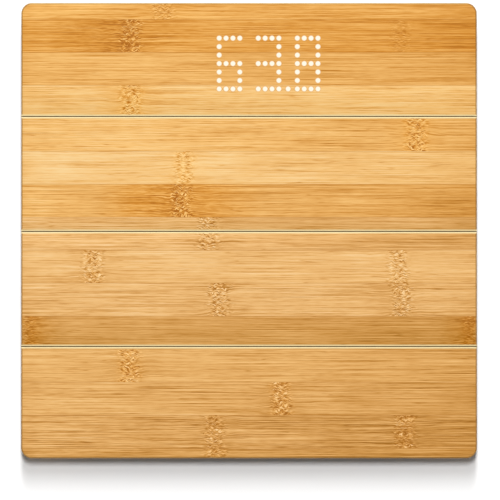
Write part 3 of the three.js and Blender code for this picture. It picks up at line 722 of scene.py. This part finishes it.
def groove_tone_light_and_shade(wood, colour):
    """Pale flanks, partly the paler cut bamboo and partly painted light for flanks that turn away from
    the lights, with painted shade in the slit between them.
    """
    high = box_mm("bamboo_platform")[1].z
    from_middle = groove_distance(wood)
    above = wood.math("GREATER_THAN", wood.z, high - GROOVE_DEPTH - GROOVE_MARGIN)
    lit_flank = wood.times(wood.span(from_middle, GROOVE_HALF + 0.25, GROOVE_HALF - 0.1), above)
    slit_shade = wood.times(wood.span(from_middle, GROOVE_SLIT_HALF + 0.1, GROOVE_SLIT_HALF), above)
    colour = wood.mix(wood.times(lit_flank, FLANK_TONE_AND_LIGHT_COVER), colour, seen(FLANK_TONE_AND_LIGHT_COLOUR))
    return wood.mix(slit_shade, colour, seen(SLIT_SHADE_COLOUR))


def moulded(name, colour, roughness, grain=0.45, depth=0.03):
    """Moulded plastic with a fine eroded texture and a slight unevenness of tone."""
    surface = Surface(name, roughness)
    place = surface.place()
    fine = surface.noise(place, scale=1 / grain, detail=3.0)
    broad = surface.noise(place, scale=1 / 40, detail=2.0)
    mottle = surface.add(surface.times(fine, 0.6), surface.times(broad, 0.4))
    tones = [(0.3, scaled(colour, 0.8)), (0.7, scaled(colour, 1.25))]
    surface.set("Base Color", surface.ramp(mottle, tones))
    surface.set("Roughness", surface.span(broad, 0.3, 0.7, roughness - 0.05, roughness + 0.06))
    surface.bump(fine, depth)
    return surface.material


def metal(name, colour, roughness, brushed=(1, 12, 1)):
    """Bare metal with fine drawn or brushed lines."""
    surface = Surface(name, roughness, metallic=1.0)
    lines = surface.noise(surface.vector("MULTIPLY", surface.place(), brushed), scale=0.5, detail=4.0)
    surface.set("Base Color", surface.ramp(lines, [(0.3, scaled(colour, 0.75)), (0.7, colour)]))
    surface.set("Roughness", surface.span(lines, 0.3, 0.7, roughness - 0.08, roughness + 0.1))
    surface.bump(lines, 0.01)
    return surface.material


def cell_jacket():
    """The printed film of a battery cell, in two greens with a silver ring, and its bare metal ends."""
    surface = Surface("cell_jacket", roughness=0.28)
    along, radius, _ = surface.split(surface.attribute("along"))
    raised = surface.math("GREATER_THAN", along, CELL_BODY - CELL_SHOULDER[0][1])
    near_flat_end = surface.math("LESS_THAN", along, CELL_RECESS + 0.05)
    inside_film = surface.math("LESS_THAN", radius, CELL_RADIUS - CELL_FILM_FOLD)
    bare = surface.math("MAXIMUM", raised, surface.times(near_flat_end, inside_film))
    band = surface.math("GREATER_THAN", along, CELL_BAND)
    ring = surface.math("COMPARE", along, CELL_BAND, CELL_RING_HALF)
    silver = surface.math("MAXIMUM", ring, bare)
    scuffs = surface.noise(surface.place(), scale=1.5, detail=3.0)
    body = surface.ramp(scuffs, [(0.3, (0.05, 0.21, 0.09, 1)), (0.7, (0.07, 0.26, 0.11, 1))])
    colour = surface.mix(band, body, (0.012, 0.045, 0.02, 1))
    surface.set("Base Color", surface.mix(silver, colour, grey(0.6)))
    surface.set("Metallic", silver)
    return surface.material


def circuit_board():
    """Green solder mask over copper traces, with pale lights standing on it."""
    surface = Surface("circuit_board", roughness=0.3)
    x, y, z = surface.split(surface.place())
    from_trace = surface.math("PINGPONG", y, TRACE_PITCH / 2)
    routed = surface.noise(surface.join(surface.times(x, 0.04), surface.times(y, 0.8), 0.0), detail=1.0)
    traces = surface.times(surface.span(from_trace, 0.2, 0.15), surface.span(routed, 0.5, 0.52))
    green = surface.mix(traces, (0.008, 0.10, 0.03, 1), (0.03, 0.2, 0.07, 1))
    top = box_mm("main_board")[1].z
    lights = surface.math("GREATER_THAN", z, top - BOARD_LIGHT_HEIGHT)
    surface.set("Base Color", surface.mix(lights, green, (0.8, 0.77, 0.6, 1)))
    surface.bump(traces, 0.03)
    return surface.material


def label_film():
    """A blank silver label: a thin printed border with two empty fields."""
    surface = Surface("label_film", roughness=0.35, metallic=0.3)
    low, high = box_mm("rating_label")
    x, y, _ = surface.split(surface.place())
    from_end = surface.math("SUBTRACT", (high.x - low.x) / 2, surface.math("ABSOLUTE", x))
    middle_y = (low.y + high.y) / 2
    off_middle = surface.math("ABSOLUTE", surface.math("SUBTRACT", y, middle_y))
    from_side = surface.math("SUBTRACT", (high.y - low.y) / 2, off_middle)
    from_edge = surface.math("MINIMUM", from_end, from_side)
    border = surface.math("COMPARE", from_edge, LABEL_MARGIN, LABEL_LINE_HALF)
    in_middle = surface.math("LESS_THAN", off_middle, LABEL_DIVIDER_HALF)
    divider = surface.times(in_middle, surface.math("GREATER_THAN", from_end, LABEL_MARGIN))
    clouds = surface.noise(surface.place(), scale=0.08, detail=2.0)
    film = surface.ramp(clouds, [(0.3, grey(0.52)), (0.7, grey(0.62))])
    surface.set("Base Color", surface.mix(surface.math("MAXIMUM", border, divider), film, grey(0.06)))
    return surface.material


def dot_light():
    """A display dot: warm white light that spreads through the thin bamboo and fades at its rim."""
    surface = Surface("dot_light", roughness=0.6, specular=0.1)
    rim = surface.split(surface.attribute("rim"))[0]
    lit = surface.span(rim, DOT_CORE, 1.0, 1.0, 0.0, soft=True)
    surface.set("Base Color", surface.mix(lit, seen(UNLIT_DOT_COLOUR), (0.2, 0.18, 0.15, 1)))
    surface.set("Emission Color", surface.mix(lit, (0.0, 0.0, 0.0, 1), (1.0, 0.92, 0.76, 1)))
    surface.shader.inputs["Emission Strength"].default_value = 0.8
    return surface.material


# ==================== pieces
def platform_blank():
    """The panel before its grooves are cut."""
    low, high = box_mm("bamboo_platform")
    size = (high.x - low.x, high.y - low.y, CORNER_RADIUS)
    return rounded_slab(*size, low.z, high.z, TOP_ROUND, BOTTOM_ROUND)


def groove_tools():
    """The three V-grooves with their slits, as solids to cut away."""
    high = box_mm("bamboo_platform")[1]
    slope = (GROOVE_HALF - GROOVE_SLIT_HALF) / GROOVE_V_DEPTH
    right = [
        (GROOVE_SLIT_HALF, high.z - GROOVE_DEPTH),
        (GROOVE_SLIT_HALF, high.z - GROOVE_V_DEPTH),
        (GROOVE_HALF + slope * OVERCUT, high.z + OVERCUT),
    ]
    left = [(-half, z) for half, z in reversed(right)]
    builder = bmesh.new()
    for n in (-1, 0, 1):
        y = n * GROOVE_PITCH + GROOVE_SHIFT
        section = [(y + half, z) for half, z in right + left]
        prism_along_x(builder, section, -high.x - OVERCUT, high.x + OVERCUT)
    return builder


def display_pocket():
    """The pocket under the display, as a solid to cut away."""
    low, high = box_mm("light_mask")
    bottom = box_mm("bamboo_platform")[0].z - OVERCUT
    front, back, roof = low.y - POCKET_GAP, high.y + POCKET_GAP, high.z + POCKET_GAP
    section = [(front, bottom), (back, bottom), (back, roof), (front, roof)]
    return prism_along_x(bmesh.new(), section, low.x - POCKET_GAP, high.x + POCKET_GAP)


def mark_strips(piece):
    """Splits the panel along its glue lines and notes on each face what its strip is like."""
    builder = bmesh.new()
    builder.from_mesh(piece.data)
    for n in range(len(STRIPS) - 1):
        whole = [*builder.verts, *builder.edges, *builder.faces]
        line = (0, (STRIP_START - n * STRIP_PITCH) * MM, 0)
        bmesh.ops.bisect_plane(builder, geom=whole, plane_co=line, plane_no=(0, 1, 0), dist=1e-7)
    strip_layer = builder.faces.layers.float_vector.new("strip")
    fibre_layer = builder.faces.layers.float_vector.new("fibre")
    knot_layers = [builder.faces.layers.float_vector.new(name) for name in KNOT_LAYERS]
    for face in builder.faces:
        y = face.calc_center_median().y / MM
        index = min(max(math.ceil((STRIP_START - y) / STRIP_PITCH), 0), len(STRIPS) - 1)
        left_tone, right_tone, warmth, contrast, knots = STRIPS[index]
        face[strip_layer] = Vector((left_tone, right_tone, warmth))
        face[fibre_layer] = Vector((index * STRIP_SEED_STEP, contrast, 0))
        for layer, knot in zip(knot_layers, knots + [NO_KNOT] * len(knot_layers)):
            face[layer] = Vector(knot)
    builder.to_mesh(piece.data)
    builder.free()


def build_platform():
    names = {"replaces": ["bamboo_platform"], "slot": "bamboo"}
    piece = new_piece("bamboo_top", platform_blank(), bamboo(), **names)
    cut_away(piece, groove_tools())
    cut_away(piece, display_pocket())
    mark_strips(piece)
    smooth(piece)


def lit_dots():
    """The places of the dots that show the reading."""
    middle_y = sum(box_mm("light_mask")[n].y for n in (0, 1)) / 2
    top = middle_y + DOT_PITCH[1] * (DOT_ROWS - 1) / 2
    digits = READING.replace(".", "")
    places = []
    for n, digit in enumerate(digits):
        left = (n - (len(digits) - 1) / 2) * DIGIT_PITCH - DOT_PITCH[0] * (DOT_COLUMNS - 1) / 2
        for row, columns in enumerate(NUMBER_ROWS.get(digit, ())):
            places += [(left + column * DOT_PITCH[0], top - row * DOT_PITCH[1]) for column in columns]
    point = (READING.index(".") - len(digits) / 2) * DIGIT_PITCH
    places.append((point, top - (DOT_ROWS - 1) * DOT_PITCH[1]))
    return places


def add_dot(builder, x, y, z, rim_layer):
    """Adds one domed dot to the bmesh. Its rim layer says how far out each point of it is."""
    previous = [builder.verts.new((x, y, z + DOT_DOME))]
    for share, height in DOT_RINGS:
        points = circle((x, y), DOT_RADIUS * share, z + DOT_DOME * height, DOT_SIDES)
        ring = [builder.verts.new(point) for point in points]
        for vert in ring:
            vert[rim_layer] = Vector((share, 0, 0))
        for i in range(DOT_SIDES):
            j = (i + 1) % DOT_SIDES
            inner = (previous[0],) if len(previous) == 1 else (previous[j], previous[i])
            builder.faces.new((ring[i], ring[j], *inner))
        previous = ring


def build_display():
    """Lit dots, each a shallow dome just proud of the platform."""
    top = box_mm("bamboo_platform")[1].z
    builder = bmesh.new()
    rim_layer = builder.verts.layers.float_vector.new("rim")
    for x, y in lit_dots():
        add_dot(builder, x, y, top + DOT_LIFT, rim_layer)
    smooth(new_piece("lit_dots", builder, dot_light()), 60)


def round_profile(points, radius, steps=3):
    """Rounds every corner of a (radius, height) outline between its two ends."""
    points = [Vector(point) for point in points]
    result = [points[0]]
    for before, corner, after in zip(points, points[1:], points[2:]):
        back = before - corner
        ahead = after - corner
        reach = min(radius, back.length * 0.45, ahead.length * 0.45)
        start = corner + back.normalized() * reach
        end = corner + ahead.normalized() * reach
        for step in range(steps + 1):
            t = step / steps
            result.append(start * (1 - t) ** 2 + corner * 2 * t * (1 - t) + end * t**2)
    result.append(points[-1])
    return [(point.x, point.y) for point in result]


def cap_profile(low, high):
    """The outline of a foot cap, from under its middle, round its wall and lip, to its pin."""
    outer = (high.x - low.x) / 2
    seat, seat_roof = CAP_SEAT
    bevel_width, bevel_height = CAP_BEVEL
    lip, lip_under = CAP_LIP
    hollow, hollow_floor = CAP_HOLLOW
    pin, pin_top = CAP_PIN
    return [
        (0, seat_roof),
        (seat, seat_roof),
        (seat, low.z),
        (outer - bevel_width, low.z),
        (outer, low.z + bevel_height),
        (outer, high.z),
        (lip + CAP_SLOPE, high.z),
        (lip, lip_under + CAP_SLOPE),
        (lip, lip_under),
        (hollow, lip_under),
        (hollow, hollow_floor),
        (pin + CAP_SLOPE, hollow_floor),
        (pin, pin_top),
        (0, pin_top),
    ]


def pad_profile():
    """The outline of a foot pad, with the ring grooves of its tread."""
    tread = [(groove + offset, z) for groove in PAD_GROOVES for offset, z in PAD_GROOVE_SHAPE]
    side = [(PAD_RADIUS - PAD_BEVEL, 0), (PAD_RADIUS, PAD_BEVEL), (PAD_RADIUS, PAD_TOP)]
    return [(0, 0), *tread, *side, (0, PAD_TOP)]


def build_foot(corner, cap_material, pad_material):
    """One foot: the cap that slides on its holder, and the rubber pad under it."""
    low, high = box_mm(f"foot_cap_{corner}")
    centre = ((low.x + high.x) / 2, (low.y + high.y) / 2)
    cap = turned(round_profile(cap_profile(low, high), CAP_ROUND), FOOT_SIDES, centre)
    names = {"body": f"foot_{corner}", "replaces": [f"foot_cap_{corner}"], "slot": "foot_plastic"}
    smooth(new_piece(f"cap_{corner}", cap, cap_material, **names))
    pad = turned(round_profile(pad_profile(), PAD_ROUND), FOOT_SIDES, centre)
    names = {"body": f"foot_{corner}", "replaces": [f"foot_pad_{corner}"], "slot": "pad_rubber"}
    smooth(new_piece(f"pad_{corner}", pad, pad_material, **names))


def build_cell(number, material):
    """A battery cell with its crimped film, its recessed flat end and its raised end."""
    low, high = box_mm(f"battery_{number}")
    points_left = abs(low.x) > abs(high.x)
    profile = [
        (0, CELL_RECESS),
        (CELL_RADIUS - CELL_FILM_FOLD - CELL_FILM_SLOPE, CELL_RECESS),
        (CELL_RADIUS - CELL_FILM_FOLD, 0),
        (CELL_RADIUS, 0),
        *((CELL_RADIUS - inward, CELL_BODY - short) for inward, short in CELL_SHOULDER),
        (CELL_BUTTON_RADIUS, CELL_BODY),
        (CELL_BUTTON_RADIUS, CELL_LENGTH),
        (0, CELL_LENGTH),
    ]
    builder = turned(round_profile(profile, CELL_ROUND), CELL_SIDES, (0, 0))
    layer = builder.verts.layers.float_vector.new("along")
    for vert in builder.verts:
        vert[layer] = Vector((vert.co.z, vert.co.xy.length, 0))
    turn = Matrix.Rotation(math.radians(-90 if points_left else 90), 4, "Y")
    flat_end = Vector((high.x if points_left else low.x, (low.y + high.y) / 2, (low.z + high.z) / 2))
    builder.transform(Matrix.Translation(flat_end) @ turn)
    names = {"replaces": [f"battery_{number}"], "slot": "cell_jacket"}
    smooth(new_piece(f"cell_{number}", builder, material, **names))


def build_contact(name, cell, material):
    """A contact plate with the wire spring that presses on the flat end of its cell."""
    node = f"contact_{name}"
    side = 1 if box_mm(node)[0].x > 0 else -1
    builder = bmesh.new()
    builder.from_mesh(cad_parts[node].data)
    builder.transform(Matrix.Scale(1 / MM, 4))
    whole = [*builder.verts, *builder.edges, *builder.faces]
    plane = {"plane_co": (side * (CONTACT_FACE + CONTACT_SKIN), 0, 0), "plane_no": (-side, 0, 0)}
    cut = bmesh.ops.bisect_plane(builder, geom=whole, clear_outer=True, **plane)
    open_edges = [part for part in cut["geom_cut"] if isinstance(part, bmesh.types.BMEdge)]
    bmesh.ops.edgenet_fill(builder, edges=open_edges)
    low, high = box_mm(f"battery_{cell}")
    start = Vector((side * CONTACT_FACE, (low.y + high.y) / 2, (low.z + high.z) / 2))
    end = start - Vector((side * SPRING_LENGTH, 0, 0))
    coil(builder, start, end, *SPRING_RADII, SPRING_TURNS, SPRING_WIRE)
    bmesh.ops.recalc_face_normals(builder, faces=builder.faces)
    names = {"replaces": [node], "slot": "contact_steel"}
    smooth(new_piece(f"spring_{name}", builder, material, **names))


def dress(node, material, bevel):
    """Gives a CAD node its material, and a fine rounded edge where bevel isn't zero."""
    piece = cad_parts[node]
    piece.data.materials.clear()
    piece.data.materials.append(material)
    if not bevel:
        return
    weld = piece.modifiers.new("weld", "WELD")
    weld.merge_threshold = WELD_DISTANCE * MM
    flat = piece.modifiers.new("flat", "DECIMATE")
    flat.decimate_type = "DISSOLVE"
    flat.angle_limit = math.radians(FLAT_ANGLE)
    edge = piece.modifiers.new("edge", "BEVEL")
    edge.width = bevel * MM
    edge.segments = 2
    edge.limit_method = "ANGLE"
    edge.angle_limit = math.radians(BEVEL_ANGLE)
    edge.harden_normals = True


def build_feet():
    cap_material = moulded("foot_black", grey(0.016), roughness=0.42, depth=0.01)
    pad_material = moulded("foot_rubber", grey(0.06), roughness=0.8, grain=0.25, depth=0.03)
    for corner in CORNERS:
        build_foot(corner, cap_material, pad_material)


def dress_shell():
    shell = moulded("shell_black", (0.022, 0.023, 0.025, 1), roughness=0.5, depth=0.03)
    dress("base_shell", shell, 0.2)
    dress("battery_door", shell, 0.2)
    dress("unit_button", moulded("button_grey", (0.24, 0.25, 0.27, 1), roughness=0.45, depth=0.01), 0.2)
    dress("rating_label", label_film(), 0)


def dress_electronics():
    dull = moulded("mask_black", grey(0.008), roughness=0.8)
    chip = moulded("chip_black", grey(0.01), roughness=0.45, grain=0.2, depth=0.005)
    dress("light_mask", dull, 0)
    dress("main_board", circuit_board(), 0)
    for node in ("controller_chip", "driver_chip", "unit_switch"):
        dress(node, chip, 0.1)
    dress("switch_plunger", dull, 0.1)
    dress("capacitor", metal("capacitor_can", (0.45, 0.46, 0.48, 1), 0.3, (1, 1, 10)), 0.3)


def build_batteries():
    jacket = cell_jacket()
    for n in (1, 2, 3):
        build_cell(n, jacket)
    spring = metal("spring_steel", (0.55, 0.56, 0.57, 1), 0.25)
    dress("contact_plus", spring, 0.05)
    for name, cell in SPRING_CELLS.items():
        build_contact(name, cell, spring)
    dress("battery_lead_plus", moulded("lead_red", (0.43, 0.02, 0.015, 1), roughness=0.35), 0)
    dress("battery_lead_minus", moulded("lead_black", grey(0.014), roughness=0.35), 0)


def dress_load_cells():
    holder = moulded("holder_grey", (0.040, 0.043, 0.048, 1), roughness=0.55)
    steel = metal("stamped_steel", (0.42, 0.43, 0.44, 1), 0.32)
    seal = moulded("silicone", (0.75, 0.75, 0.71, 1), roughness=0.4, depth=0.02)
    lead = moulded("lead_grey", grey(0.45), roughness=0.4)
    for corner in CORNERS:
        dress(f"cell_holder_{corner}", holder, 0.2)
        dress(f"load_cell_{corner}", steel, 0.15)
        dress(f"gauge_seal_{corner}", seal, 0.3)
        dress(f"cell_lead_{corner}", lead, 0)


def dress_screws():
    screw = metal("screw_zinc", (0.36, 0.37, 0.39, 1), 0.35, (6, 6, 1))
    for name, count in (("shell_screw", 8), ("board_screw", 4)):
        for n in range(count):
            dress(f"{name}_{n + 1}", screw, 0.1)


# ==================== studio
def build_camera():
    top = box_mm("bamboo_platform")[1].z
    tilt = math.radians(CAMERA_TILT)
    target = Vector((*VIEW_CENTRE, top))
    back = Vector((0, -math.sin(tilt), math.cos(tilt)))
    camera = bpy.data.objects.new("camera", bpy.data.cameras.new("camera"))
    camera.data.lens = camera.data.sensor_width * CAMERA_DISTANCE / VIEW_WIDTH
    camera.data.clip_end = 2 * CAMERA_DISTANCE * MM
    camera.location = (target + back * CAMERA_DISTANCE) * MM
    camera.rotation_euler = (tilt, 0, 0)
    bpy.context.scene.collection.objects.link(camera)
    bpy.context.scene.camera = camera


def build_floor():
    builder = bmesh.new()
    bmesh.ops.create_grid(builder, x_segments=8, y_segments=8, size=FLOOR_SIDE / 2)
    mesh = bpy.data.meshes.new("floor")
    builder.to_mesh(mesh)
    builder.free()
    mesh.transform(Matrix.Scale(MM, 4))
    surface = Surface("floor_white", roughness=0.95, specular=0.0)
    surface.shader.inputs["Base Color"].default_value = grey(FLOOR_LEVEL)
    mesh.materials.append(surface.material)
    floor = bpy.data.objects.new("floor", mesh)
    bpy.context.scene.collection.objects.link(floor)


def build_world():
    """A dim even sky that is bright only near the horizon, where it is the backdrop of low views."""
    world = bpy.data.worlds.new("studio")
    world.use_nodes = True
    tree = world.node_tree
    direction = tree.nodes.new("ShaderNodeTexCoord").outputs["Generated"]
    height = tree.nodes.new("ShaderNodeSeparateXYZ")
    tree.links.new(direction, height.inputs[0])
    sky = tree.nodes.new("ShaderNodeValToRGB")
    for element, position, level in zip(sky.color_ramp.elements, SKY_FADE, (1.0, SKY_LEVEL)):
        element.position = position
        element.color = grey(level)
    tree.links.new(height.outputs[2], sky.inputs[0])
    tree.links.new(sky.outputs[0], tree.nodes["Background"].inputs["Color"])
    bpy.context.scene.world = world
    bpy.context.scene.view_settings.view_transform = "Standard"


def strip_light(name, low, high, width, level):
    """A far strip behind the display edge, between two elevations in degrees, centred on X = 0."""
    turn = math.radians((low + high) / 2)
    light = bpy.data.objects.new(name, bpy.data.lights.new(name, "AREA"))
    light.data.shape = "RECTANGLE"
    light.data.size = width * MM
    light.data.size_y = 2 * LIGHT_DISTANCE * math.tan(math.radians((high - low) / 2)) * MM
    light.data.energy = level * (math.pi * LIGHT_DISTANCE * MM) ** 2 / math.sin(turn)
    place = Vector((0, math.cos(turn), math.sin(turn))) * LIGHT_DISTANCE * MM
    light.location = place
    light.rotation_euler = (-place).to_track_quat("-Z", "Y").to_euler()
    bpy.context.scene.collection.objects.link(light)


build_camera()
build_floor()
build_world()
for light_name, light_shape in STRIP_LIGHTS.items():
    strip_light(light_name, *light_shape)
build_platform()
build_display()
build_feet()
dress_shell()
dress_electronics()
build_batteries()
dress_load_cells()
dress_screws()
